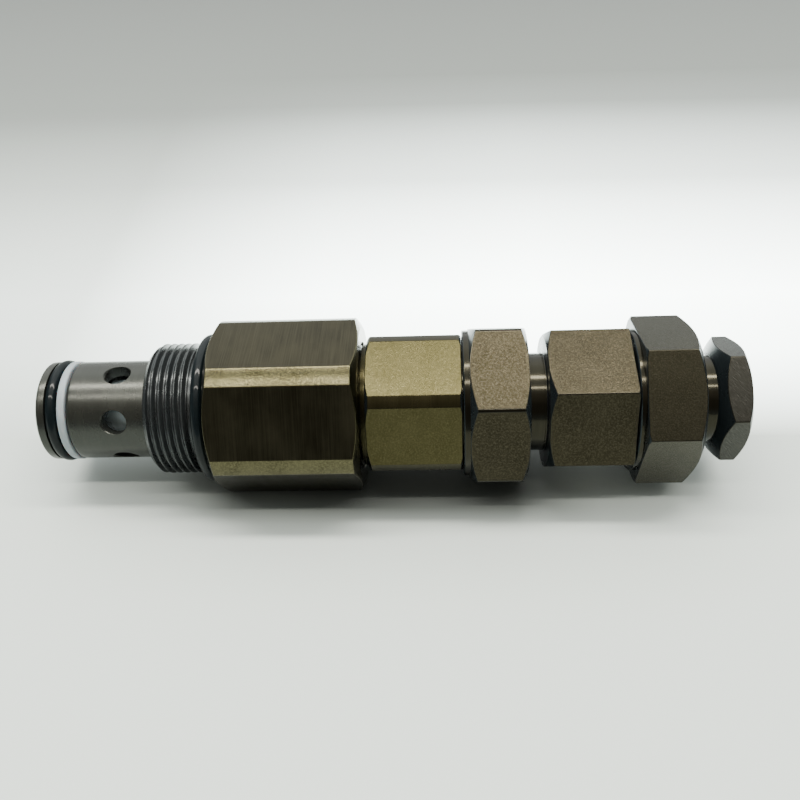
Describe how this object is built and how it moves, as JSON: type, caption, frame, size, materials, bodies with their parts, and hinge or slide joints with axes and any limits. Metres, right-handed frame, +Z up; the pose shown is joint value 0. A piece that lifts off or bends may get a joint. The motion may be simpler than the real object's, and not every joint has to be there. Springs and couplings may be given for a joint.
{
  "type": "cartridge valve",
  "caption": "Screw-in hydraulic relief valve cartridge: ported sleeve nose, threaded hexagon body, pilot stage, two adjusting screws with lock nuts, lying on its side.",
  "frame": {"origin": "on the valve's axis, at the middle of the overall length", "axes": "+X along the axis from the nose to the end plug, +Z up and normal to a flat of the body"},
  "size_m": [0.1884, 0.048, 0.0464],
  "materials": {
    "bronze_plated": "satin",
    "grained_plated": "satin",
    "gold_plated": "satin",
    "hard_steel": "polished",
    "spring_steel": "satin",
    "seal_rubber": "satin",
    "white_ptfe": "matte"
  },
  "bodies": {
    "body": {"valve_body": "bronze_plated", "sleeve": "bronze_plated", "nose_o_ring": "seal_rubber", "nose_backup_ring": "white_ptfe", "sleeve_o_ring": "seal_rubber", "port_o_ring": "seal_rubber", "pilot_seat": "hard_steel", "pilot_seat_o_ring": "seal_rubber", "pilot_housing": "gold_plated", "housing_o_ring": "seal_rubber", "main_spring": "spring_steel"},
    "main_poppet": {"main_poppet": "hard_steel"},
    "pilot_poppet": {"pilot_poppet": "hard_steel"},
    "lock_nut_1": {"lock_nut_1": "grained_plated"},
    "adjuster_slide": {"adjuster_o_ring": "seal_rubber"},
    "adjuster": {"adjuster": "grained_plated"},
    "lock_nut_2": {"lock_nut_2": "grained_plated"},
    "end_plug_slide": {"end_plug_o_ring": "seal_rubber"},
    "end_plug": {"end_plug": "grained_plated"},
    "signal_piston": {"signal_piston": "hard_steel", "piston_o_ring": "seal_rubber", "spring_seat": "hard_steel", "pilot_spring": "spring_steel"}
  },
  "joints": [
    {"name": "main_poppet_lift", "type": "slide", "parent": "body", "child": "main_poppet", "axis": [1, 0, 0], "range_m": [0, 0.0035], "stiffness_N_per_m": 2000, "springref_m": -0.002, "deforming": ["main_spring"]},
    {"name": "pilot_poppet_lift", "type": "slide", "parent": "body", "child": "pilot_poppet", "axis": [1, 0, 0], "range_m": [0, 0.001], "stiffness_N_per_m": 1000, "springref_m": -0.001, "deforming": ["pilot_spring"]},
    {"name": "lock_nut_1_turn", "type": "hinge", "parent": "body", "child": "lock_nut_1", "pos_m": [0.0288, 0, 0], "axis": [1, 0, 0], "range_deg": [0, 360]},
    {"name": "adjuster_travel", "type": "slide", "parent": "body", "child": "adjuster_slide", "axis": [1, 0, 0], "range_m": [-0.003, 0.003]},
    {"name": "adjuster_turn", "type": "hinge", "parent": "adjuster_slide", "child": "adjuster", "pos_m": [0.053, 0, 0], "axis": [1, 0, 0], "range_deg": [-720, 720]},
    {"name": "lock_nut_2_turn", "type": "hinge", "parent": "adjuster", "child": "lock_nut_2", "pos_m": [0.0731, 0, 0], "axis": [1, 0, 0], "range_deg": [0, 360]},
    {"name": "end_plug_travel", "type": "slide", "parent": "adjuster", "child": "end_plug_slide", "axis": [1, 0, 0], "range_m": [-0.0015, 0.0015]},
    {"name": "end_plug_turn", "type": "hinge", "parent": "end_plug_slide", "child": "end_plug", "pos_m": [0.09, 0, 0], "axis": [1, 0, 0], "range_deg": [-360, 360]},
    {"name": "signal_piston_stroke", "type": "slide", "parent": "end_plug_slide", "child": "signal_piston", "axis": [-1, 0, 0], "range_m": [0, 0.002], "stiffness_N_per_m": 1000, "springref_m": -0.001}
  ],
  "couplings": [
    {"joint": "adjuster_turn", "follows": "adjuster_travel", "rad_per_m": 4188.8},
    {"joint": "end_plug_turn", "follows": "end_plug_travel", "rad_per_m": 4188.8}
  ]
}
